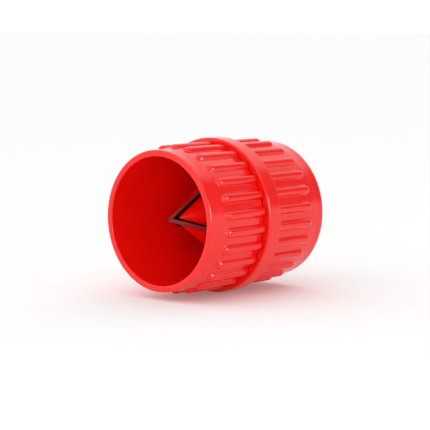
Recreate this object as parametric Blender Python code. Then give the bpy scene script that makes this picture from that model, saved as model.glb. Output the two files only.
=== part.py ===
"""Double-ended deburring tool for tube ends: two ribbed half-shells around a cone of three blades.

The barrel lies on its side. Its axis runs along +Y, the mouth that takes the bore of a tube
faces -Y, and the mouth that takes the outside of a tube faces +Y. The band rests on z = 0.

Every piece is modelled about the barrel's own axis, with z along the axis from the front mouth,
and is then laid down by its parent.
"""

from math import cos, hypot, pi, radians, sin, sqrt, tan

import bmesh
import bpy
from mathutils import Vector

MM = 0.001

# Barrel
LENGTH = 56.0
BORE_RADIUS = 20.75  # of both mouths; a 38 mm tube goes in with room to tilt
COLLAR_RADIUS = 22.85  # outside of the plain ring at each mouth
TROUGH_RADIUS = 23.1  # between the ribs
RIM_FILLET = 0.5

# Grip band, moulded with the rear shell
BAND_RADIUS = 25.55
BAND_START = 25.15
BAND_END = 31.0
BAND_FILLET = 0.5
BAND_FLATS = 52  # the band rests on one of these

# Ribs, moulded with both shells
RIB_COUNT = 26
RIB_HALF_WIDTH = 1.65
RIB_CREST_RADIUS = 24.3
FRONT_RIB_TIP = 6.4
REAR_RIB_TIP = 49.8
STEPS_PER_RIB = 6

# Joint between the shells: a sleeve on the front shell plugs into the rear shell
GAP = 0.3
SLEEVE_RADIUS = 21.75
SLEEVE_END = 42.0
SOCKET_RADIUS = SLEEVE_RADIUS + GAP
LEDGE = 50.6  # the rear shell's step that the carrier is clamped against
SHELL_PART_LINE = BAND_START - GAP

# Blades: flat bars standing on edge, laid along one cone
BLADE_COUNT = 3
BLADE_TURN = 2.0  # degrees from the top to the first blade
CONE_HALF_ANGLE = 30.2
CONE_APEX = 5.3
BLADE_WIDTH = 6.25
BLADE_THICKNESS = 1.6
POINT_FRONT = 4.0  # the ground points reach a little ahead of the cone
POINT_RADIUS = 0.2  # of each point from the axis, so that the three stay apart
WEDGE_RADIUS = POINT_RADIUS + BLADE_THICKNESS / 2.0 / sqrt(3.0)  # full thickness from here out
BLADE_WALL_RADIUS = BORE_RADIUS - GAP
BLADE_END = 51.5
TAB_RADIUS = 21.6
TAB_START = 44.5
TAB_END = LEDGE - GAP

# Carrier: a conical web that holds the blades, on a ring clamped between sleeve and ledge
WEB_FRONT = 1.1  # depth of the web's front under the cutting edge
WEB_BACK = 4.0
WEB_START = 10.0
RING_START = SLEEVE_END + GAP
NOTCH_START = TAB_START - GAP
SLOT_WIDTH = BLADE_THICKNESS + 2.0 * GAP

SLOPE = tan(radians(CONE_HALF_ANGLE))


def clear_scene():
    for item in list(bpy.data.objects):
        bpy.data.objects.remove(item, do_unlink=True)


def plain_material(name, colour, roughness, metallic):
    material = bpy.data.materials.new(name)
    material.use_nodes = True
    shader = material.node_tree.nodes["Principled BSDF"]
    shader.inputs["Base Color"].default_value = (*colour, 1.0)
    shader.inputs["Roughness"].default_value = roughness
    shader.inputs["Metallic"].default_value = metallic
    return material


def link_piece(name, mesh, material, parent):
    piece = bpy.data.objects.new(name, mesh)
    bpy.context.collection.objects.link(piece)
    piece.data.materials.append(material)
    piece.parent = parent
    return piece


def rib_height(z, angle, rib_from, rib_to):
    """Height of the nearest rib: a half-round bar with a rounded nose at each end of its length."""
    pitch = 2.0 * pi / RIB_COUNT
    turn = (angle + pitch / 2.0) % pitch - pitch / 2.0
    across = turn * TROUGH_RADIUS
    along = max(rib_from - z, z - rib_to, 0.0)
    reach = hypot(across, along) / RIB_HALF_WIDTH
    if reach >= 1.0:
        return 0.0
    return (RIB_CREST_RADIUS - TROUGH_RADIUS) * sqrt(1.0 - reach * reach)


def flat_of_band(angle):
    """Growth of a corner of the band, so that the middle of each flat is at the band's radius."""
    flat = 2.0 * pi / BAND_FLATS
    turn = (angle + flat / 2.0) % flat - flat / 2.0
    return 1.0 / cos(turn)


def turned_mesh(name, loop, steps, rib_from=0.0, rib_to=0.0):
    """Closed ring swept round the axis. Each point of the loop is (z, radius, kind)."""
    bm = bmesh.new()
    columns = []
    for step in range(steps):
        angle = 2.0 * pi * (step + 0.5) / steps
        column = []
        for z, radius, kind in loop:
            if kind == "ribbed":
                radius += rib_height(z, angle, rib_from, rib_to)
            if kind == "band":
                radius *= flat_of_band(angle)
            point = Vector((radius * sin(angle), -radius * cos(angle), z))
            column.append(bm.verts.new(point * MM))
        columns.append(column)
    for step in range(steps):
        here = columns[step]
        there = columns[(step + 1) % steps]
        for index in range(len(loop)):
            after = (index + 1) % len(loop)
            bm.faces.new((here[index], here[after], there[after], there[index]))
    bmesh.ops.recalc_face_normals(bm, faces=bm.faces)
    for face in bm.faces:
        face.smooth = True
    mesh = bpy.data.meshes.new(name)
    bm.to_mesh(mesh)
    bm.free()
    return mesh


def front_shell_loop():
    """Front mouth, ribbed skin up to the band, and the long sleeve that goes inside the rear shell."""
    rim = RIM_FILLET
    loop = [(rim, BORE_RADIUS, "round")]
    loop.append((rim * 0.3, BORE_RADIUS + rim * 0.3, "round"))
    loop.append((0.0, BORE_RADIUS + rim, "round"))
    loop.append((0.0, COLLAR_RADIUS - rim, "round"))
    loop.append((rim * 0.3, COLLAR_RADIUS - rim * 0.3, "round"))
    loop.append((rim, COLLAR_RADIUS, "round"))
    loop.append((FRONT_RIB_TIP - 0.6, COLLAR_RADIUS, "round"))
    for step in (0.0, 0.15, 0.5, 1.0, 1.65):
        loop.append((FRONT_RIB_TIP + step, TROUGH_RADIUS - 0.1, "ribbed"))
    loop.append((SHELL_PART_LINE - 8.0, TROUGH_RADIUS, "ribbed"))
    loop.append((SHELL_PART_LINE, TROUGH_RADIUS, "ribbed"))
    loop.append((SHELL_PART_LINE, SLEEVE_RADIUS, "round"))
    loop.append((SLEEVE_END, SLEEVE_RADIUS, "round"))
    loop.append((SLEEVE_END, BORE_RADIUS, "round"))
    return loop


def rear_shell_loop():
    """Band, ribbed skin down to the rear mouth, the rear bore and the ledge inside it."""
    rim = RIM_FILLET
    soft = BAND_FILLET
    loop = [(BAND_START, SOCKET_RADIUS, "round")]
    loop.append((BAND_START, BAND_RADIUS - soft, "band"))
    loop.append((BAND_START + soft * 0.3, BAND_RADIUS - soft * 0.3, "band"))
    loop.append((BAND_START + soft, BAND_RADIUS, "band"))
    loop.append((BAND_END - soft, BAND_RADIUS, "band"))
    loop.append((BAND_END - soft * 0.3, BAND_RADIUS - soft * 0.3, "band"))
    loop.append((BAND_END, BAND_RADIUS - soft, "band"))
    loop.append((BAND_END + 0.1, TROUGH_RADIUS, "ribbed"))
    loop.append((BAND_END + 8.0, TROUGH_RADIUS, "ribbed"))
    for step in (1.65, 1.0, 0.5, 0.15, 0.0):
        loop.append((REAR_RIB_TIP - step, TROUGH_RADIUS - 0.1, "ribbed"))
    loop.append((REAR_RIB_TIP + 0.6, COLLAR_RADIUS, "round"))
    loop.append((LENGTH - rim, COLLAR_RADIUS, "round"))
    loop.append((LENGTH - rim * 0.3, COLLAR_RADIUS - rim * 0.3, "round"))
    loop.append((LENGTH, COLLAR_RADIUS - rim, "round"))
    loop.append((LENGTH, BORE_RADIUS + rim, "round"))
    loop.append((LENGTH - rim * 0.3, BORE_RADIUS + rim * 0.3, "round"))
    loop.append((LENGTH - rim, BORE_RADIUS, "round"))
    loop.append((LEDGE, BORE_RADIUS, "round"))
    loop.append((LEDGE, SOCKET_RADIUS, "round"))
    return loop


def cone_radius(z, depth):
    """Radius at z of the cone that lies this deep under the cutting edges."""
    return (z - CONE_APEX - depth / sin(radians(CONE_HALF_ANGLE))) * SLOPE


def cone_z(radius, depth):
    return CONE_APEX + depth / sin(radians(CONE_HALF_ANGLE)) + radius / SLOPE


def carrier_loop():
    middle = 0.5
    return [
        (cone_z(middle, WEB_BACK), middle, "round"),
        (WEB_START, middle, "round"),
        (WEB_START, cone_radius(WEB_START, WEB_FRONT), "round"),
        (cone_z(BORE_RADIUS, WEB_FRONT), BORE_RADIUS, "round"),
        (RING_START, BORE_RADIUS, "round"),
        (RING_START, SLEEVE_RADIUS, "round"),
        (TAB_END, SLEEVE_RADIUS, "round"),
        (TAB_END, cone_radius(TAB_END, WEB_BACK), "round"),
    ]


def plate_mesh(name, outline, thickness, sharp_radius=-1.0):
    """Flat plate in a plane through the axis: its outline is (z, radius), its thickness is across.

    An outline that starts and ends at sharp_radius is ground to a wedge there.
    """
    bm = bmesh.new()
    near, far = [], []
    for z, radius in outline:
        sharp = radius <= sharp_radius
        half = 0.0 if sharp else thickness / 2.0
        near.append(bm.verts.new(Vector((-half, -radius, z)) * MM))
        far.append(near[-1] if sharp else bm.verts.new(Vector((half, -radius, z)) * MM))
    full = [index for index in range(len(outline)) if near[index] is not far[index]]
    for side in (near, far):
        bm.faces.new([side[index] for index in full])
        if len(full) < len(outline):
            bm.faces.new((side[0], side[full[0]], side[full[-1]], side[-1]))
    for index in range(len(outline)):
        after = (index + 1) % len(outline)
        corners = list(dict.fromkeys((near[index], far[index], far[after], near[after])))
        if len(corners) > 2:
            bm.faces.new(corners)
    bmesh.ops.recalc_face_normals(bm, faces=bm.faces)
    mesh = bpy.data.meshes.new(name)
    bm.to_mesh(mesh)
    bm.free()
    return mesh


def blade_outline():
    """Bar along the cone, with a ground point at the axis and a tab that the shells trap."""
    return [
        (POINT_FRONT, POINT_RADIUS),
        (cone_z(WEDGE_RADIUS, 0.0), WEDGE_RADIUS),
        (cone_z(BLADE_WALL_RADIUS, 0.0), BLADE_WALL_RADIUS),
        (TAB_START, BLADE_WALL_RADIUS),
        (TAB_START, TAB_RADIUS),
        (TAB_END, TAB_RADIUS),
        (TAB_END, BLADE_WALL_RADIUS),
        (BLADE_END, BLADE_WALL_RADIUS),
        (BLADE_END, cone_radius(BLADE_END, BLADE_WIDTH)),
        (cone_z(WEDGE_RADIUS, BLADE_WIDTH), WEDGE_RADIUS),
        (cone_z(POINT_RADIUS, BLADE_WIDTH), POINT_RADIUS),
    ]


def slot_outline():
    """Room for one blade: through the web, and from the back through the ring for the tab."""
    inside = BORE_RADIUS - 0.15
    return [
        (WEB_START - 2.0, 0.0),
        (TAB_END + 2.0, 0.0),
        (TAB_END + 2.0, SLEEVE_RADIUS + 1.5),
        (NOTCH_START, SLEEVE_RADIUS + 1.5),
        (NOTCH_START, inside),
        (WEB_START - 2.0, inside),
    ]


def cut_slots(carrier, parent):
    for index in range(BLADE_COUNT):
        mesh = plate_mesh("slot_cutter", slot_outline(), SLOT_WIDTH)
        cutter = bpy.data.objects.new("slot_cutter_%d" % (index + 1), mesh)
        bpy.context.collection.objects.link(cutter)
        cutter.parent = parent
        cutter.rotation_euler[2] = blade_angle(index)
        cutter.hide_render = True
        cutter.display_type = "WIRE"
        cut = carrier.modifiers.new("slot_%d" % (index + 1), "BOOLEAN")
        cut.operation = "DIFFERENCE"
        cut.solver = "EXACT"
        cut.object = cutter


def blade_angle(index):
    return radians(BLADE_TURN + 360.0 * index / BLADE_COUNT)


def build():
    clear_scene()

    # The barrel's own axis, laid along +Y with the band on the ground
    barrel = bpy.data.objects.new("barrel_axis", None)
    bpy.context.collection.objects.link(barrel)
    barrel.location = (0.0, -LENGTH / 2.0 * MM, BAND_RADIUS * MM)
    barrel.rotation_euler = (radians(-90.0), 0.0, 0.0)

    red = (0.80, 0.022, 0.016)
    steel = (0.035, 0.033, 0.032)
    front_red = plain_material("front_shell_plastic", red, 0.28, 0.0)
    rear_red = plain_material("rear_shell_plastic", red, 0.28, 0.0)
    carrier_red = plain_material("carrier_plastic", red, 0.32, 0.0)

    steps = RIB_COUNT * STEPS_PER_RIB
    nose = RIB_HALF_WIDTH
    mesh = turned_mesh(
        "front_shell", front_shell_loop(), steps, FRONT_RIB_TIP + nose, SHELL_PART_LINE
    )
    link_piece("front_shell", mesh, front_red, barrel)
    mesh = turned_mesh("rear_shell", rear_shell_loop(), steps, BAND_END, REAR_RIB_TIP - nose)
    link_piece("rear_shell", mesh, rear_red, barrel)

    mesh = turned_mesh("blade_carrier", carrier_loop(), 96)
    carrier = link_piece("blade_carrier", mesh, carrier_red, barrel)
    cut_slots(carrier, barrel)

    for index in range(BLADE_COUNT):
        name = "blade_%d" % (index + 1)
        material = plain_material(name + "_steel", steel, 0.38, 0.9)
        mesh = plate_mesh(name, blade_outline(), BLADE_THICKNESS, POINT_RADIUS)
        blade = link_piece(name, mesh, material, barrel)
        blade.rotation_euler[2] = blade_angle(index)


build()
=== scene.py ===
# %% [markdown]
# # A double-ended deburring tool
#
# The tool is a short red barrel that is turned by hand on the end of a cut tube. Pushed into the
# front mouth, a tube's bore is trimmed by the outer edges of three steel blades. Pushed into the
# rear mouth, its outside is trimmed by their inner edges. The barrel is moulded in two halves,
# and a slotted cone between them holds the blades.
#
# The lesson builds six pieces round a fixed frame: two ribbed shells, the cone and three blades.

# %% Load the frame
from math import cos, pi, radians, sin, sqrt, tan

import bmesh
import bpy
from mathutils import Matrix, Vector


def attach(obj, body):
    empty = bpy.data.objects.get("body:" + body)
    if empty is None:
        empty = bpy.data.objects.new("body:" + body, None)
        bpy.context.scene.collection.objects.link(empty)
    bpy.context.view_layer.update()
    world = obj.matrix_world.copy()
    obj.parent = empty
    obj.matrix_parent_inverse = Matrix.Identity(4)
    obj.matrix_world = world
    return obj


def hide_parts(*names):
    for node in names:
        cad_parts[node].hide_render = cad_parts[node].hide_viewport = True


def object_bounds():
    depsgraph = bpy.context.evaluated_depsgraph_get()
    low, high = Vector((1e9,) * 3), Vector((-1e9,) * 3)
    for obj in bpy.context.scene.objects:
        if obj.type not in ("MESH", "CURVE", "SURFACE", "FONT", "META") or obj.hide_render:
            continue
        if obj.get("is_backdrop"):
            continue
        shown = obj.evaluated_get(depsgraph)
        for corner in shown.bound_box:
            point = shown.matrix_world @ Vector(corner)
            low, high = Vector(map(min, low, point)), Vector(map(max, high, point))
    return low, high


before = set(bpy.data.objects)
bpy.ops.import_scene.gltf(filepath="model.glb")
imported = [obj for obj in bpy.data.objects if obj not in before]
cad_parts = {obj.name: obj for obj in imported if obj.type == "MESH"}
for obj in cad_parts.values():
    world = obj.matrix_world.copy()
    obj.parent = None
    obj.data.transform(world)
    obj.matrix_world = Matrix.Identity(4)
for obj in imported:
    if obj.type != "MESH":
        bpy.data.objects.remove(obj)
frame_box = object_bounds()
print("frame nodes:", ", ".join(sorted(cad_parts)))

# %% [markdown]
# ## Where everything goes
#
# Turned parts are easiest to think of as an outline of (along, radius) round one axis. The axis
# lies level, as high as the grip band's radius, and runs from the front mouth to the rear one.
# Both of these numbers come from the frame's own box, so that the looks can't drift from it.
# Sizes are written in millimetres, as on a drawing, and MM turns them into metres.

# %% The barrel's axis
MM = 0.001
FRONT_END = frame_box[0].y
AXIS_HEIGHT = (frame_box[0].z + frame_box[1].z) / 2.0
LENGTH = (frame_box[1].y - frame_box[0].y) / MM
print("length %.1f mm, axis %.2f mm above the floor" % (LENGTH, AXIS_HEIGHT / MM))


def on_barrel(along, radius, turn, across=0.0):
    """The place of a point of the barrel. Turn is from the top, towards +X, in radians."""
    x = radius * sin(turn) + across * cos(turn)
    z = radius * cos(turn) - across * sin(turn)
    return Vector((x * MM, FRONT_END + along * MM, AXIS_HEIGHT + z * MM))


# %% [markdown]
# ## A drawing with rounded corners
#
# A moulded part has no sharp corners, because plastic doesn't fill them and a mould can't be cut
# that way. So each outline is written as a few corners with the radius of their rounding, and one
# helper draws the arcs. It also puts a point a little way before and after each arc. Smooth
# shading averages the faces round a point, and those extra points keep the arc's curve from
# spreading over the flat beside it.
#
# A corner is (along, radius, lift, rounding). Lift says how much of the ribs' height a point
# takes: 1 on the ribbed skin, and 0 everywhere else.

# %% Rounded outlines
ARC_STEPS = 5
BESIDE_ARC = 0.12  # mm from an arc to its supporting point


def rounded_outline(corners):
    points = []
    for index, (along, radius, lift, rounding) in enumerate(corners):
        if rounding == 0.0:
            points.append((along, radius, lift))
            continue
        here = Vector((along, radius))
        before = Vector(corners[index - 1][:2]) - here
        after = Vector(corners[(index + 1) % len(corners)][:2]) - here
        space = min(before.length, after.length)
        before.normalize()
        after.normalize()
        half = before.angle(after) / 2.0
        reach = rounding / tan(half)
        centre = here + (before + after).normalized() * (rounding / sin(half))
        first, last = here + before * reach - centre, here + after * reach - centre
        if reach + BESIDE_ARC < space:
            points.append((*(here + before * (reach + BESIDE_ARC)), lift))
        for step in range(ARC_STEPS + 1):
            spoke = first.slerp(last, step / ARC_STEPS).normalized() * rounding
            points.append((*(centre + spoke), lift))
        if reach + BESIDE_ARC < space:
            points.append((*(here + after * (reach + BESIDE_ARC)), lift))
    return points


def evenly(first, last, step):
    """Places from first to last, no further apart than step."""
    count = max(1, round(abs(last - first) / step))
    return [first + (last - first) * index / count for index in range(count + 1)]


# %% [markdown]
# ## One helper for node trees
#
# Both geometry and materials are built from nodes. This helper adds one node, sets its properties,
# and fills its sockets with a value or with a link from another node.

# %% Add a node
def add_node(tree, kind, sockets=None, **settings):
    made = tree.nodes.new(kind)
    for name, value in settings.items():
        setattr(made, name, value)
    for key, value in (sockets or {}).items():
        if isinstance(value, bpy.types.NodeSocket):
            tree.links.new(value, made.inputs[key])
        else:
            made.inputs[key].default_value = value
    return made


# %% [markdown]
# ## Colours
#
# Colours are written as they look on a screen. Shaders count light, so each one is turned linear.

# %% Screen colours to linear ones
def linear(hexcode):
    shares = [int(hexcode[index : index + 2], 16) / 255.0 for index in (0, 2, 4)]
    return (*(s / 12.92 if s <= 0.04045 else ((s + 0.055) / 1.055) ** 2.4 for s in shares), 1.0)


# %% [markdown]
# ## Red ABS, moulded glossy
#
# The shells are ABS, injection moulded in a polished steel mould. ABS has an IOR of about 1.54.
# The polish gives the eye a clear but slightly soft reflection of the room, over a deep red body.
# Three things keep it from looking like paint on glass: the pigment is a little uneven over
# centimetres, the skin ripples over a millimetre or two as it shrinks (orange peel), and the
# gloss changes slightly where hands have rubbed it. The carrier is the same plastic, a little
# less glossy. Its red is a shade lighter than the shells': painted light, standing in for the
# light that reaches the web deep in the barrel.

# %% Make the glossy plastic
ABS_IOR = 1.54
PIGMENT_SIZE = 14.0  # mm across, as are the next two
RUBBED_SIZE = 7.0
PEEL_SIZE = 1.8
NOISE_LOW, NOISE_HIGH = 0.3, 0.7  # nearly all of a noise pattern lies between these


def per_mm(size):
    """The scale of a pattern whose features are this many millimetres across."""
    return 1.0 / (size * MM)


def moulded_plastic(name, deep, light, gloss, ripple):
    """Gloss is the roughness from the shiniest place to the dullest, and ripple is in mm."""
    material = bpy.data.materials.new(name)
    material.use_nodes = True
    tree = material.node_tree
    shader = tree.nodes["Principled BSDF"]
    place = add_node(tree, "ShaderNodeTexCoord").outputs["Object"]
    pigment = add_node(tree, "ShaderNodeTexNoise",
                       {"Vector": place, "Scale": per_mm(PIGMENT_SIZE), "Detail": 2.0})
    shade = add_node(tree, "ShaderNodeMix",
                     {"Factor": pigment.outputs["Fac"], "A": linear(deep), "B": linear(light)},
                     data_type="RGBA")
    rubbed = add_node(tree, "ShaderNodeTexNoise",
                      {"Vector": place, "Scale": per_mm(RUBBED_SIZE), "Detail": 4.0})
    polish = add_node(tree, "ShaderNodeMapRange",
                      {"Value": rubbed.outputs["Fac"], "From Min": NOISE_LOW,
                       "From Max": NOISE_HIGH, "To Min": gloss[0], "To Max": gloss[1]})
    peel = add_node(tree, "ShaderNodeTexNoise",
                    {"Vector": place, "Scale": per_mm(PEEL_SIZE), "Detail": 1.0})
    bump = add_node(tree, "ShaderNodeBump",
                    {"Height": peel.outputs["Fac"], "Strength": 1.0, "Distance": ripple * MM})
    tree.links.new([s for s in shade.outputs if s.type == "RGBA"][0], shader.inputs["Base Color"])
    tree.links.new(polish.outputs["Result"], shader.inputs["Roughness"])
    tree.links.new(bump.outputs["Normal"], shader.inputs["Normal"])
    shader.inputs["IOR"].default_value = ABS_IOR
    print("material", name)
    return material


glossy_abs = moulded_plastic("glossy_moulded_abs", "ED0E08", "F3120A", (0.15, 0.22), 0.012)
# The carrier's lighter red is painted light for the web deep in the barrel, not another pigment.
carrier_abs_painted_lighter = moulded_plastic("moulded_abs_carrier_painted_lighter", "F20C08", "F8100B", (0.19, 0.27), 0.010)


# %% [markdown]
# ## The turning tree
#
# Both shells and the carrier are one idea: an outline swept round the barrel's axis. The shells
# have 26 ribs as well, and these follow a rule. A rib is a raised bar with a domed nose at its
# free end. Its height depends only on u, the distance from a line down its middle. Across the rib
# u is a share of its half width, and beyond the line's end it is a share of the nose's length.
# The height is full * (1 - u ** squareness). Squareness flattens the crest, makes the shoulders
# tighter and steepens the flanks.
#
# Modelling 26 bars and joining them would leave seams. In Geometry Nodes, a grid is wrapped round
# the axis instead: one way it reads the outline, the other way it turns. The rule then lifts the
# grid where the ribs are, and it is still one closed skin. The columns are crowded where the
# flanks are, so that a steep flank gets enough of them.

# %% Build the turning tree
TREE_INPUTS = (
    ("Outline", "NodeSocketGeometry"),
    ("Outline Points", "NodeSocketInt"),
    ("Ribs", "NodeSocketInt"),
    ("Columns Per Rib", "NodeSocketInt"),
    ("Crowding", "NodeSocketFloat"),
    ("Rib Height", "NodeSocketFloat"),
    ("Rib Half Width", "NodeSocketFloat"),
    ("Squareness", "NodeSocketFloat"),
    ("Rib Root Radius", "NodeSocketFloat"),
    ("Nose Length", "NodeSocketFloat"),
    ("Rib Line From", "NodeSocketFloat"),
    ("Rib Line To", "NodeSocketFloat"),
    ("Axis Height", "NodeSocketFloat"),
    ("Front End", "NodeSocketFloat"),
    ("Plastic", "NodeSocketMaterial"),
)

turning = bpy.data.node_groups.new("turned_and_ribbed", "GeometryNodeTree")
socket_of = {
    name: turning.interface.new_socket(name=name, in_out="INPUT", socket_type=kind).identifier
    for name, kind in TREE_INPUTS
}
turning.interface.new_socket(name="Piece", in_out="OUTPUT", socket_type="NodeSocketGeometry")
given = add_node(turning, "NodeGroupInput").outputs


def reckon(operation, *values):
    """One step of arithmetic in the turning tree."""
    step = add_node(turning, "ShaderNodeMath", dict(enumerate(values)), operation=operation)
    return step.outputs[0]


# %% [markdown]
# First the grid, and which outline point and which turn each of its points stands for.

# %% The grid and its outline
columns = reckon("MULTIPLY", given["Ribs"], given["Columns Per Rib"])
row = reckon("ADD", columns, 1.0)
grid = add_node(turning, "GeometryNodeMeshGrid",
                {"Vertices X": reckon("ADD", given["Outline Points"], 1.0), "Vertices Y": row})
number = add_node(turning, "GeometryNodeInputIndex").outputs[0]
outline_point = reckon("MODULO", reckon("FLOOR", reckon("DIVIDE", number, row)),
                       given["Outline Points"])
read = add_node(turning, "GeometryNodeSampleIndex",
                {"Geometry": given["Outline"], "Index": outline_point,
                 "Value": add_node(turning, "GeometryNodeInputPosition").outputs[0]},
                data_type="FLOAT_VECTOR", domain="POINT")
along, radius, lift = add_node(turning, "ShaderNodeSeparateXYZ", {0: read.outputs[0]}).outputs

# %% [markdown]
# Then the turn. Counted in ribs, its whole part says which rib is nearest, and the rest says how
# far across it a column lies. A sine pushes the columns towards the flanks.

# %% The turn, crowded at the flanks
in_ribs = reckon("DIVIDE", reckon("MODULO", number, row), given["Columns Per Rib"])
nearest = reckon("ROUND", in_ribs)
share = reckon("SUBTRACT", in_ribs, nearest)
push = reckon("MULTIPLY", reckon("SINE", reckon("MULTIPLY", share, 4.0 * pi)),
              reckon("DIVIDE", given["Crowding"], 4.0 * pi))
share = reckon("ADD", share, push)
per_rib = reckon("DIVIDE", 2.0 * pi, given["Ribs"])
turn = reckon("MULTIPLY", reckon("ADD", nearest, share), per_rib)

# %% [markdown]
# Then the rule for a rib's height, from the distance to its middle line.

# %% The height of a rib
across = reckon("MULTIPLY", reckon("MULTIPLY", share, per_rib), given["Rib Root Radius"])
beyond = reckon("MAXIMUM", 0.0,
                reckon("MAXIMUM", reckon("SUBTRACT", given["Rib Line From"], along),
                       reckon("SUBTRACT", along, given["Rib Line To"])))
across_share = reckon("DIVIDE", across, given["Rib Half Width"])
beyond_share = reckon("DIVIDE", beyond, given["Nose Length"])
away = reckon("SQRT", reckon("ADD", reckon("MULTIPLY", across_share, across_share),
                             reckon("MULTIPLY", beyond_share, beyond_share)))
u = reckon("MINIMUM", 1.0, away)
section = reckon("SUBTRACT", 1.0, reckon("POWER", u, given["Squareness"]))
height = reckon("MULTIPLY", reckon("MULTIPLY", section, given["Rib Height"]), lift)

# %% [markdown]
# Last, the points go to their places, the ends of the grid are merged so that it closes, and the
# plastic is set. Realize Instances stays even though nothing is instanced yet, so that the tree
# can be given instances later and still export as plain faces.

# %% Place, close and finish
MERGE_WITHIN = 0.002  # mm
reach = reckon("ADD", radius, height)
spot = add_node(turning, "ShaderNodeCombineXYZ",
                {"X": reckon("MULTIPLY", reach, reckon("SINE", turn)),
                 "Y": reckon("ADD", along, given["Front End"]),
                 "Z": reckon("ADD", reckon("MULTIPLY", reach, reckon("COSINE", turn)),
                             given["Axis Height"])})
placed = add_node(turning, "GeometryNodeSetPosition",
                  {"Geometry": grid.outputs["Mesh"], "Position": spot.outputs[0]})
closed = add_node(turning, "GeometryNodeMergeByDistance",
                  {"Geometry": placed.outputs[0], "Distance": MERGE_WITHIN * MM})
smooth = add_node(turning, "GeometryNodeSetShadeSmooth", {"Geometry": closed.outputs[0]})
plain = add_node(turning, "GeometryNodeRealizeInstances", {"Geometry": smooth.outputs[0]})
coated = add_node(turning, "GeometryNodeSetMaterial",
                  {"Geometry": plain.outputs[0], "Material": given["Plastic"]})
add_node(turning, "NodeGroupOutput", {0: coated.outputs[0]})
print("turning tree:", len(turning.nodes), "nodes")


# %% [markdown]
# ## Keeping a piece as plain mesh
#
# Each piece is kept as a plain mesh once its modifiers have done their work. A turned skin can
# come out with its faces pointing inwards, so they are all turned to point out of the plastic
# once the doubles are gone. Its open edges and its volume are printed: a cut that failed shows
# in them at once.

# %% Keep a piece
CUBIC_CM = 1e-6  # cubic metres


def add_piece(name, mesh):
    piece = bpy.data.objects.new(name, mesh)
    bpy.context.scene.collection.objects.link(piece)
    return piece


def face_outwards(mesh):
    bm = bmesh.new()
    bm.from_mesh(mesh)
    bmesh.ops.recalc_face_normals(bm, faces=bm.faces)
    open_edges = sum(not edge.is_manifold for edge in bm.edges)
    bm.to_mesh(mesh)
    bm.free()
    return open_edges


def volume_of(piece):
    """Cubic centimetres inside the piece's skin."""
    bm = bmesh.new()
    bm.from_mesh(piece.data)
    volume = bm.calc_volume(signed=True)
    bm.free()
    return volume / CUBIC_CM


def baked(piece):
    """The piece with its modifiers turned into plain mesh."""
    bpy.context.view_layer.update()
    evaluated = piece.evaluated_get(bpy.context.evaluated_depsgraph_get())
    mesh = bpy.data.meshes.new_from_object(evaluated)
    piece.modifiers.clear()
    piece.data = mesh
    mesh.name = piece.name
    open_edges = face_outwards(mesh)
    print("%s: %d faces, %d open edges, %.3f cm3"
          % (piece.name, len(mesh.polygons), open_edges, volume_of(piece)))
    return piece


# %% [markdown]
# ## Using the tree
#
# An outline goes in as loose points with their lift as the third number, and the modifier is
# given its sizes by the names of the tree's inputs.

# %% Turn an outline into a piece
def turned(name, outline, plastic, **sizes):
    points = bpy.data.meshes.new(name + "_outline")
    points.from_pydata([(a * MM, r * MM, lift) for a, r, lift in outline], [], [])
    piece = add_piece(name, points)
    modifier = piece.modifiers.new("turned", "NODES")
    modifier.node_group = turning
    values = {"Outline Points": len(outline), "Plastic": plastic, "Axis Height": AXIS_HEIGHT,
              "Front End": FRONT_END}
    values.update({key.replace("_", " ").title(): value for key, value in sizes.items()})
    for key, value in values.items():
        modifier[socket_of[key]] = value
    return baked(piece)


# %% [markdown]
# ## The ribs' sizes
#
# There are 26 ribs, 3.3 mm wide and 1.2 mm high, which fingers can grip through a glove. Their
# shoulders are round enough to be kind to the hand, and their flanks are steep.

# %% Rib sizes
RIB_COUNT = 26
TROUGH_RADIUS = 23.1
RIB_CREST_RADIUS = 24.3
RIB_HALF_WIDTH = 1.65
NOSE_LENGTH = 2.2
RIB_SIZES = dict(
    ribs=RIB_COUNT,
    columns_per_rib=28,
    crowding=0.6,
    rib_height=(RIB_CREST_RADIUS - TROUGH_RADIUS) * MM,
    rib_half_width=RIB_HALF_WIDTH * MM,
    squareness=2.8,
    nose_length=NOSE_LENGTH * MM,
    rib_root_radius=TROUGH_RADIUS * MM,
)

# %% [markdown]
# ## Rings along a ribbed skin
#
# A shell's ribbed skin is straight, so an outline would need only its two ends. The rule can lift
# a rib's nose only where there are points, though. Rings of points are therefore put along the
# skin, close together round the noses, where it curves, and far apart where the ribs run straight.

# %% Space the rings
NOSE_STEP = 0.13  # mm between rings where the noses curve
PLAIN_STEP = 2.4  # and where the ribs run straight
AHEAD_OF_NOSE = 0.25
PAST_NOSE = 0.15


def ribbed_skin(tip, far, towards):
    """Corners from just ahead of a rib's nose, almost to the far end of its skin."""
    start = tip - AHEAD_OF_NOSE * towards
    full = tip + (NOSE_LENGTH + PAST_NOSE) * towards
    rings = evenly(start, full, NOSE_STEP) + evenly(full, far, PLAIN_STEP)[1:-1]
    return [(along, TROUGH_RADIUS, 1.0, 0.0) for along in rings]


# %% [markdown]
# ## Front shell
#
# The front half has the mouth, a plain collar, and ribs that run back until they stop against the
# band. Inside, a long sleeve lines the bore and plugs into the rear half. The outline goes round
# the section once: mouth, collar, ribbed skin, joint face, sleeve, and back along the bore.

# %% Make the front shell
BORE_RADIUS = 20.75
COLLAR_RADIUS = 22.85
SLEEVE_RADIUS = 21.75
SLEEVE_END = 42.0
FRONT_JOINT = 24.85
FRONT_RIB_TIP = 6.4
COLLAR_STEP = 3.0  # the collar eases up to the troughs over this length, before the ribs' tips
COLLAR_EASE = 6.0
RIM_ROUNDING = 0.5
JOINT_ROUNDING = 0.12
EDGE_ROUNDING = 0.15
INNER_CORNER = 0.1

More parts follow.
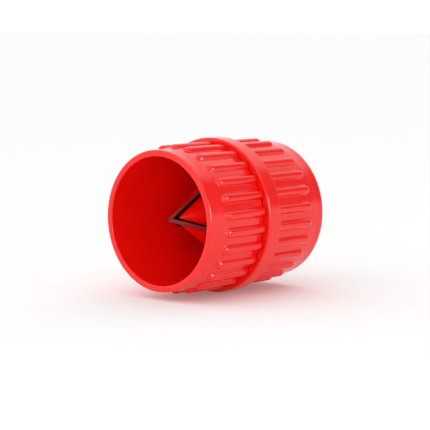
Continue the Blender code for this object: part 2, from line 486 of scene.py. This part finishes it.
front_corners = [
    (0.0, BORE_RADIUS, 0.0, RIM_ROUNDING),
    (0.0, COLLAR_RADIUS, 0.0, RIM_ROUNDING),
    (FRONT_RIB_TIP - COLLAR_STEP, COLLAR_RADIUS, 0.0, COLLAR_EASE),
    *ribbed_skin(FRONT_RIB_TIP, FRONT_JOINT, 1.0),
    (FRONT_JOINT, TROUGH_RADIUS, 1.0, JOINT_ROUNDING),
    (FRONT_JOINT, SLEEVE_RADIUS, 0.0, INNER_CORNER),
    (SLEEVE_END, SLEEVE_RADIUS, 0.0, EDGE_ROUNDING),
    (SLEEVE_END, BORE_RADIUS, 0.0, EDGE_ROUNDING),
]
front_shell = turned(
    "front_shell_ribbed",
    rounded_outline(front_corners),
    glossy_abs,
    rib_line_from=(FRONT_RIB_TIP + NOSE_LENGTH) * MM,
    rib_line_to=LENGTH * MM,
    **RIB_SIZES,
)

# %% [markdown]
# ## Rear shell
#
# The rear half carries the raised grip band that the thumb pushes against, then its own ribs,
# collar and mouth. Its bore opens into a wider socket for the sleeve, and the step between them
# is the ledge that the carrier is clamped against.

# %% Make the rear shell
BAND_RADIUS = AXIS_HEIGHT / MM
BAND_START = 25.15
BAND_END = 31.0
BAND_ROUNDING = 0.5
BAND_FOOT = 0.12  # the ribs run right up to the band, so its foot rises and falls with them
SOCKET_RADIUS = 22.05
LEDGE = 50.6
REAR_RIB_TIP = 49.8

rear_corners = [
    (BAND_START, SOCKET_RADIUS, 0.0, EDGE_ROUNDING),
    (BAND_START, BAND_RADIUS, 0.0, BAND_ROUNDING),
    (BAND_END, BAND_RADIUS, 0.0, BAND_ROUNDING),
    (BAND_END, TROUGH_RADIUS + BAND_FOOT, 1.0, 0.0),
    (BAND_END + BAND_FOOT, TROUGH_RADIUS, 1.0, 0.0),
    (BAND_END + 3.0 * BAND_FOOT, TROUGH_RADIUS, 1.0, 0.0),
    *reversed(ribbed_skin(REAR_RIB_TIP, BAND_END, -1.0)),
    (REAR_RIB_TIP + COLLAR_STEP, COLLAR_RADIUS, 0.0, COLLAR_EASE),
    (LENGTH, COLLAR_RADIUS, 0.0, RIM_ROUNDING),
    (LENGTH, BORE_RADIUS, 0.0, RIM_ROUNDING),
    (LEDGE, BORE_RADIUS, 0.0, EDGE_ROUNDING),
    (LEDGE, SOCKET_RADIUS, 0.0, INNER_CORNER),
]
rear_shell = turned(
    "rear_shell_banded",
    rounded_outline(rear_corners),
    glossy_abs,
    rib_line_from=0.0,
    rib_line_to=(REAR_RIB_TIP - NOSE_LENGTH) * MM,
    **RIB_SIZES,
)

# %% [markdown]
# ## The blades' cone
#
# The three blades lie along one cone, a third of a turn apart. Everything near them is measured
# from the cone of their cutting edges: the carrier's web is a slightly smaller cone, whose front
# lies 1.1 mm under the edges, so that a tube touches steel and never plastic.

# %% The cone
BLADE_COUNT = 3
FIRST_BLADE = 2.0  # degrees from the top, towards +X
BLADE_TURNS = [radians(FIRST_BLADE + 360.0 / BLADE_COUNT * n) for n in range(BLADE_COUNT)]
CONE_HALF_ANGLE = radians(30.2)
CONE_APEX = 5.3
SLOPE = tan(CONE_HALF_ANGLE)


def cone_along(radius, depth):
    """Where the cone that lies this deep under the edges has this radius."""
    return CONE_APEX + depth / sin(CONE_HALF_ANGLE) + radius / SLOPE


def cone_radius(along, depth):
    """The radius that the same cone has here."""
    return (along - CONE_APEX - depth / sin(CONE_HALF_ANGLE)) * SLOPE


print("edges reach the bore's wall %.1f mm in" % cone_along(BORE_RADIUS, 0.0))


# %% [markdown]
# ## Plates that stand on edge
#
# A blade is a flat bar on edge in a plane through the axis. The slot that it stands in is the same
# kind of plate, only wider. Near the axis the three bars would run into each other, so each is
# ground to a wedge there, and the wedges meet in a point. The plate's half thickness is therefore
# a function of the radius.

# %% Make a plate
WEDGE_START = 0.05  # mm from the axis; leaves a hair of room between the tips


def wedge(thickness):
    """Where the full thickness begins if the sides lean 60 degrees from the plate."""
    return WEDGE_START + thickness / 2.0 / sqrt(3.0)


def plate(name, outline, thickness, turn):
    """A bar with this side view, standing on edge in the plane through the axis at this turn."""
    bm = bmesh.new()
    sides = []
    for along, radius in outline:
        half = thickness / 2.0 * (radius > WEDGE_START)
        pair = [bm.verts.new(on_barrel(along, radius, turn, -half))]
        pair.append(bm.verts.new(on_barrel(along, radius, turn, half)) if half else pair[0])
        sides.append(pair)
    thick = [pair for pair in sides if pair[0] is not pair[1]]
    for side in (0, 1):  # each flat side, and the wedge face that leans away from it
        bm.faces.new([pair[side] for pair in thick])
        if len(thick) < len(sides):
            bm.faces.new([sides[0][0], thick[0][side], thick[-1][side], sides[-1][0]])
    for (a, b), (c, d) in zip(sides, sides[1:] + sides[:1]):
        corners = list(dict.fromkeys((a, b, d, c)))
        if len(corners) > 2:
            bm.faces.new(corners)
    bmesh.ops.recalc_face_normals(bm, faces=bm.faces)
    mesh = bpy.data.meshes.new(name)
    bm.to_mesh(mesh)
    bm.free()
    return mesh


# %% [markdown]
# ## Blade carrier
#
# The carrier is moulded too: a conical web on a ring. The ring sits between the sleeve's end and
# the ledge. It is turned by the same tree. Its ribs have no height and only set how many columns
# there are, but the rule still divides by their width and their nose, so both are given.

# %% Turn the carrier
FIT_GAP = 0.3  # mm left between the carrier, the blades and the shells
WEB_FRONT = 1.1  # how deep under the cutting edges the web's two faces lie
WEB_BACK = 4.0
RING_START = SLEEVE_END + FIT_GAP
RING_END = LEDGE - FIT_GAP
WEB_START = 9.0
WEB_HOLE = 0.4
PLAIN_SIZES = dict(ribs=3, columns_per_rib=64, rib_half_width=1.0, nose_length=1.0)

carrier_corners = [
    (cone_along(WEB_HOLE, WEB_BACK), WEB_HOLE, 0.0, 0.0),
    (WEB_START, WEB_HOLE, 0.0, 0.0),
    (WEB_START, cone_radius(WEB_START, WEB_FRONT), 0.0, 0.0),
    (cone_along(BORE_RADIUS, WEB_FRONT), BORE_RADIUS, 0.0, 0.0),
    (RING_START, BORE_RADIUS, 0.0, 0.0),
    (RING_START, SLEEVE_RADIUS, 0.0, 0.0),
    (RING_END, SLEEVE_RADIUS, 0.0, 0.0),
    (RING_END, cone_radius(RING_END, WEB_BACK), 0.0, 0.0),
]
carrier = turned("blade_carrier_cone", rounded_outline(carrier_corners), carrier_abs_painted_lighter,
                 **PLAIN_SIZES)

# %% [markdown]
# ## Three slots
#
# A slot is a blade's thickness with a little room, and it reaches out through the ring for the
# blade's tab. Each is cut with a plate that runs on past the carrier, so that no face of the
# cutter lies in a face of the carrier.

# %% The shape of a slot
BLADE_THICKNESS = 1.6
SLOT_CLEARANCE = 0.05
OVERRUN = 2.0
SLOT_WALL = BORE_RADIUS - 0.15
TAB_SLOT_START = RING_START + 1.9
TAB_SLOT_RADIUS = SLEEVE_RADIUS + 1.5
JUST_PAST = 0.001  # mm, enough to keep a plate from starting its wedge
slot_outline = [
    (WEB_START - OVERRUN, 0.0),
    (RING_END + OVERRUN, 0.0),
    (RING_END + OVERRUN, TAB_SLOT_RADIUS),
    (TAB_SLOT_START, TAB_SLOT_RADIUS),
    (TAB_SLOT_START, SLOT_WALL),
    (WEB_START - OVERRUN, SLOT_WALL),
]


def slot_plate(index):
    """A slot's plate keeps its full thickness to its end, a twentieth of a mm from the axis."""
    raised = [(along, max(radius, WEDGE_START + JUST_PAST)) for along, radius in slot_outline]
    return plate("slot_%d" % (index + 1), raised, BLADE_THICKNESS + 2.0 * SLOT_CLEARANCE,
                 BLADE_TURNS[index])


# %% [markdown]
# The cuts are exact booleans, one after another. Their test for self-intersection is on as a
# precaution. The carrier's volume before and after says whether three slots' worth of plastic
# went, and the script stops if not.

# %% Cut the slots
SLOTS_LEAVE = (0.88, 0.96)  # the share of the carrier that may be left
cutters = [add_piece("slot_cutter_%d" % (index + 1), slot_plate(index))
           for index in range(BLADE_COUNT)]
for cutter in cutters:
    cut = carrier.modifiers.new(cutter.name, "BOOLEAN")
    cut.operation, cut.solver, cut.object = "DIFFERENCE", "EXACT", cutter
    cut.use_self = True
uncut = volume_of(carrier)
baked(carrier)
for cutter in cutters:
    bpy.data.objects.remove(cutter)
left = volume_of(carrier) / uncut
print("the slots leave %.3f of the carrier" % left)
if not SLOTS_LEAVE[0] < left < SLOTS_LEAVE[1]:
    raise RuntimeError("the slots took more or less of the carrier than three slots can")

# %% [markdown]
# Sharp slot edges would be lost in a mould, so a narrow bevel rounds them. Everything is then
# shaded smooth except across the corners that are still too steep to be a rounding.

# %% Round the slots' edges
def bevel(piece, width, steeper_than):
    """Round every corner of the piece that is steeper than this many degrees."""
    corners = piece.modifiers.new("rounded_corners", "BEVEL")
    corners.width, corners.segments = width * MM, 2
    corners.limit_method, corners.angle_limit = "ANGLE", radians(steeper_than)
    return baked(piece)


def smooth_below(piece, degrees):
    """Shade the piece smooth, except across corners steeper than this."""
    for face in piece.data.polygons:
        face.use_smooth = True
    piece.data.set_sharp_from_angle(angle=radians(degrees))


bevel(carrier, width=0.12, steeper_than=40.0)
smooth_below(carrier, degrees=32.0)
carrier.data.materials.clear()
carrier.data.materials.append(carrier_abs_painted_lighter)

# %% [markdown]
# ## Black oxide on hardened steel
#
# The blades are hardened tool steel, blackened in a hot bath. Black oxide is a skin of magnetite
# only a micrometre thick. It follows the steel under it, so it keeps a dull metallic sheen, but
# it returns only a twentieth or so of the light. It is drawn as a very dark metal. Rolled bar
# has faint lines along it, and the oxide is never quite even.

# %% Make the black oxide
BLOTCH_SIZE = 3.0


def steel(name, dark, light, roughness, grain, grain_depth):
    """Grain is the pattern's features to the mm in x, y and z, and their depth is in mm."""
    material = bpy.data.materials.new(name)
    material.use_nodes = True
    tree = material.node_tree
    shader = tree.nodes["Principled BSDF"]
    place = add_node(tree, "ShaderNodeTexCoord").outputs["Object"]
    blotch = add_node(tree, "ShaderNodeTexNoise",
                      {"Vector": place, "Scale": per_mm(BLOTCH_SIZE), "Detail": 4.0})
    shade = add_node(tree, "ShaderNodeMix",
                     {"Factor": blotch.outputs["Fac"], "A": linear(dark), "B": linear(light)},
                     data_type="RGBA")
    stretched = add_node(tree, "ShaderNodeMapping", {"Vector": place, "Scale": grain})
    lines = add_node(tree, "ShaderNodeTexNoise",
                     {"Vector": stretched.outputs[0], "Scale": per_mm(1.0), "Detail": 3.0})
    worn = add_node(tree, "ShaderNodeMapRange",
                    {"Value": lines.outputs["Fac"], "From Min": NOISE_LOW,
                     "From Max": NOISE_HIGH, "To Min": roughness[0], "To Max": roughness[1]})
    bump = add_node(tree, "ShaderNodeBump",
                    {"Height": lines.outputs["Fac"], "Strength": 1.0,
                     "Distance": grain_depth * MM})
    tree.links.new([s for s in shade.outputs if s.type == "RGBA"][0], shader.inputs["Base Color"])
    tree.links.new(worn.outputs["Result"], shader.inputs["Roughness"])
    tree.links.new(bump.outputs["Normal"], shader.inputs["Normal"])
    shader.inputs["Metallic"].default_value = 1.0
    print("material", name)
    return material


LINES_ALONG = (4.0, 0.3, 4.0)  # features a quarter of a millimetre wide and 3 mm long
black_oxide = steel("black_oxide_steel", "342E2C", "3E3735", (0.32, 0.46), LINES_ALONG, 0.004)

# %% [markdown]
# ## The ground edge
#
# Each edge is ground after hardening. The wheel takes the black skin off and leaves bare grey
# steel with fine lines across the edge. It looks brown in the barrel only because it mirrors the
# red bore. Real grinding lines are a few hundredths of a millimetre apart, too fine to show, so
# they are drawn about ten times coarser.

# %% Make the ground edge
LINES_ACROSS = (0.6, 3.5, 0.6)
ground_steel = steel("ground_tool_steel", "A29E96", "B0ACA4", (0.36, 0.50), LINES_ACROSS, 0.006)


# %% [markdown]
# ## Blades
#
# The bar's outline runs from the point, along the cutting edge to the bore's wall, round the tab
# that locks into the carrier's ring, and back along the inner edge. The point is ground slimmer
# than the cone of the edges, and so it reaches a little further forward.

# %% The outline of a blade
BLADE_WIDTH = 6.25
BLADE_WALL = BORE_RADIUS - FIT_GAP
TAB_START = RING_START + 2.2
TAB_RADIUS = 21.6
BLADE_END = 51.5
POINT_FRONT = 4.0
FULL = wedge(BLADE_THICKNESS)
blade_outline = [
    (POINT_FRONT, WEDGE_START),
    (cone_along(FULL, 0.0), FULL),
    (cone_along(BLADE_WALL, 0.0), BLADE_WALL),
    (TAB_START, BLADE_WALL),
    (TAB_START, TAB_RADIUS),
    (RING_END, TAB_RADIUS),
    (RING_END, BLADE_WALL),
    (BLADE_END, BLADE_WALL),
    (BLADE_END, cone_radius(BLADE_END, BLADE_WIDTH)),
    (cone_along(FULL, BLADE_WIDTH), FULL),
    (cone_along(WEDGE_START, BLADE_WIDTH), WEDGE_START),
]
print("blade outline:", len(blade_outline), "points")

# %% [markdown]
# Very narrow bevels stand for the broken corners of ground steel: they catch the thin lines of
# light that make it read as steel. The faces that the wheel ground are told from the black ones
# by the way they face.

# %% Make the blades
BROKEN_CORNER = 0.07
EDGE_FACING = 0.94  # the cosine of about 20 degrees, which takes in the slimmer point


def is_edge_face(face, turn):
    """True on the faces that the wheel ground: both edges, and the slimmer point ahead of them."""
    out = Vector((sin(turn) * cos(CONE_HALF_ANGLE), -sin(CONE_HALF_ANGLE),
                  cos(turn) * cos(CONE_HALF_ANGLE)))
    return abs(face.normal.dot(out)) > EDGE_FACING


blades = []
for index, turn_of_blade in enumerate(BLADE_TURNS):
    name = "blade_bar_%d" % (index + 1)
    blade = add_piece(name, plate(name, blade_outline, BLADE_THICKNESS, turn_of_blade))
    bevel(blade, width=BROKEN_CORNER, steeper_than=30.0)
    blade.data.materials.append(black_oxide)
    blade.data.materials.append(ground_steel)
    for face in blade.data.polygons:
        face.material_index = int(is_edge_face(face, turn_of_blade))
    smooth_below(blade, degrees=50.0)
    blades.append(blade)

# %% [markdown]
# The three blades are checked against a bar that has the same side view but no wedge and no
# bevels. They may hold up to three hundredths less. The area of the side view comes from its
# corners, by the shoelace rule.

# %% Check the blades
BLADE_SHARE = (0.97, 1.0)
side_area = abs(sum(a[0] * b[1] - b[0] * a[1] for a, b in
                    zip(blade_outline, blade_outline[1:] + blade_outline[:1]))) / 2.0
bar_volume = side_area * BLADE_THICKNESS / 1000.0
print("with no wedge and no bevels, a blade would hold %.3f cm3" % bar_volume)
if any(not BLADE_SHARE[0] < volume_of(blade) / bar_volume < BLADE_SHARE[1] for blade in blades):
    raise RuntimeError("a blade has lost more than its wedge and its broken corners")

# %% [markdown]
# ## Tying the pieces to the frame
#
# Nothing moves on this tool, so every piece rides on the one body. Each piece stands for the node
# of the same part, and that node is hidden.

# %% Ride and replace
for piece, node_name, finish_slot in (
    (front_shell, "front_shell", "shell_plastic"),
    (rear_shell, "rear_shell", "shell_plastic"),
    (carrier, "blade_carrier", "carrier_plastic"),
    (blades[0], "blade_1", "blade_steel"),
    (blades[1], "blade_2", "blade_steel"),
    (blades[2], "blade_3", "blade_steel"),
):
    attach(piece, "root")
    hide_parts(node_name)
    print(piece.name, "stands for", node_name)

# %% [markdown]
# ## The studio
#
# The tool stands on a white table that runs back to a white wall. The table is opal acrylic,
# faintly lit from below, which keeps the shadow light.

# %% The table
TABLE_HALF = 12.0  # metres
TABLE_ROUGHNESS = 0.9
TABLE_GLOW = 0.11
table_mesh = bpy.data.meshes.new("white_table")
table_mesh.from_pydata([(-TABLE_HALF, -TABLE_HALF, 0.0), (TABLE_HALF, -TABLE_HALF, 0.0),
                        (TABLE_HALF, TABLE_HALF, 0.0), (-TABLE_HALF, TABLE_HALF, 0.0)],
                       [], [(0, 1, 2, 3)])
table = add_piece("white_table", table_mesh)
acrylic = bpy.data.materials.new("lit_opal_acrylic")
acrylic.use_nodes = True
sheet = acrylic.node_tree.nodes["Principled BSDF"].inputs
sheet["Base Color"].default_value = linear("ECECEC")
sheet["Roughness"].default_value = TABLE_ROUGHNESS
sheet["Specular IOR Level"].default_value = 0.0
sheet["Emission Color"].default_value = (1.0, 1.0, 1.0, 1.0)
sheet["Emission Strength"].default_value = TABLE_GLOW
table_mesh.materials.append(acrylic)
table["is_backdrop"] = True
print("table: %.0f m across" % (2.0 * TABLE_HALF))

# %% [markdown]
# ## The room
#
# Glossy plastic shows what is round it, so the room matters as much as the lamps. The table is
# reflected low on the barrel, a dark gap between the wall and the overhead screen gives a darker
# belt above it, and the screen lights the top. The gap is open only to one side. None of it is
# near the tool, so it is drawn on the world, by direction.

# %% The room
ROOM_LIGHT = 1.15
GAP_LIGHT = 0.28
WALL_TOP = (3.0, 9.0)  # degrees above level, where the wall gives way to the gap
SCREEN_EDGE = (40.0, 49.0)  # and where the gap gives way to the screen
GAP_TOWARDS = Vector((0.9, 0.43, 0.0))
GAP_SIDE = (0.32, 0.68)  # how nearly a direction has to face the gap

world = bpy.data.worlds.new("studio_room")
bpy.context.scene.world = world
world.use_nodes = True
room = world.node_tree
direction = add_node(room, "ShaderNodeTexCoord").outputs["Generated"]
rise = add_node(room, "ShaderNodeSeparateXYZ", {0: direction}).outputs["Z"]
facing = add_node(room, "ShaderNodeVectorMath", {0: direction, 1: GAP_TOWARDS},
                  operation="DOT_PRODUCT").outputs["Value"]


def fade(value, low, high, start=0.0, end=1.0):
    """A soft step of the room's light between two limits."""
    return add_node(room, "ShaderNodeMapRange",
                    {"Value": value, "From Min": low, "From Max": high, "To Min": start,
                     "To Max": end}, interpolation_type="SMOOTHSTEP").outputs[0]


above_wall = fade(rise, *(sin(radians(degrees)) for degrees in WALL_TOP))
below_screen = fade(rise, *(sin(radians(degrees)) for degrees in SCREEN_EDGE), 1.0, 0.0)
on_that_side = fade(facing, *GAP_SIDE)
gap = add_node(room, "ShaderNodeMath", {0: above_wall, 1: below_screen}, operation="MULTIPLY")
gap = add_node(room, "ShaderNodeMath", {0: gap.outputs[0], 1: on_that_side}, operation="MULTIPLY")
strength = fade(gap.outputs[0], 0.0, 1.0, ROOM_LIGHT, GAP_LIGHT)
background = room.nodes["Background"]
background.inputs["Color"].default_value = (1.0, 1.0, 1.0, 1.0)
room.links.new(strength, background.inputs["Strength"])
print("room: light %.2f, gap %.2f" % (ROOM_LIGHT, GAP_LIGHT))

# %% [markdown]
# ## The lamps
#
# One softbox to the right of the camera puts the bright dots on the ribs' noses and the thin
# lines on the band's edges. It is kept out of the matte light, so that it glints without washing
# out the red. A second, beside the camera, reaches into the mouth and picks out the blades, and
# a wider and weaker one fills the side of the barrel that faces the gap.

# %% Lamps
LAMP_DISTANCE = 0.9  # metres


def softbox(name, towards, side, brightness):
    """A square lamp aimed at the barrel. Side is in metres, and brightness is its face's own."""
    light = bpy.data.lights.new(name, "AREA")
    light.shape, light.size = "SQUARE", side
    light.energy = brightness * pi * side * side
    lamp = bpy.data.objects.new(name, light)
    bpy.context.scene.collection.objects.link(lamp)
    middle = on_barrel(LENGTH / 2.0, 0.0, 0.0)
    lamp.location = middle + Vector(towards).normalized() * LAMP_DISTANCE
    lamp.rotation_euler = (middle - lamp.location).to_track_quat("-Z", "Y").to_euler()
    print("lamp %s: %.2f m square, brightness %.1f" % (name, side, brightness))
    return lamp


glint = softbox("glint_lamp", (0.94, 0.16, 0.20), side=0.28, brightness=20.0)
glint.visible_diffuse = False
softbox("mouth_softbox", (0.72, -0.68, 0.15), side=0.24, brightness=6.0)
softbox("side_fill", (0.93, 0.30, 0.22), side=0.4, brightness=1.4)

# %% [markdown]
# ## The camera
#
# A long lens from a little above, well round to the side, shows the mouth, the blades' point and
# the whole length of the ribs.

# %% Camera
CAMERA_TARGET = Vector((0.0135, -0.0157, 0.0276))  # metres, as is the next one
CAMERA_DISTANCE = 0.567
CAMERA_AZIMUTH = radians(41.74)
CAMERA_RISE = radians(6.164)
FOCAL_LENGTH, SENSOR_WIDTH = 148.9, 36.0  # mm
lens = bpy.data.cameras.new("studio_camera")
lens.lens, lens.sensor_width = FOCAL_LENGTH, SENSOR_WIDTH
lens.clip_start, lens.clip_end = 0.02, 60.0
camera = bpy.data.objects.new("studio_camera", lens)
bpy.context.scene.collection.objects.link(camera)
back = Vector((sin(CAMERA_AZIMUTH) * cos(CAMERA_RISE), -cos(CAMERA_AZIMUTH) * cos(CAMERA_RISE),
               sin(CAMERA_RISE)))
camera.location = CAMERA_TARGET + back * CAMERA_DISTANCE
camera.rotation_euler = (-back).to_track_quat("-Z", "Y").to_euler()
bpy.context.scene.camera = camera
bpy.context.scene.view_settings.view_transform = "Standard"
print("camera: %.1f mm lens, %.3f m away" % (FOCAL_LENGTH, CAMERA_DISTANCE))

# %% [markdown]
# ## The two boxes
#
# Both boxes, the frame's and the looks', are printed.

# %% Sizes, and finish
looks_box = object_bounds()
for label, box in (("frame", frame_box), ("looks", looks_box)):
    print(label, "%.2f x %.2f x %.2f mm" % tuple((box[1] - box[0]) / MM))
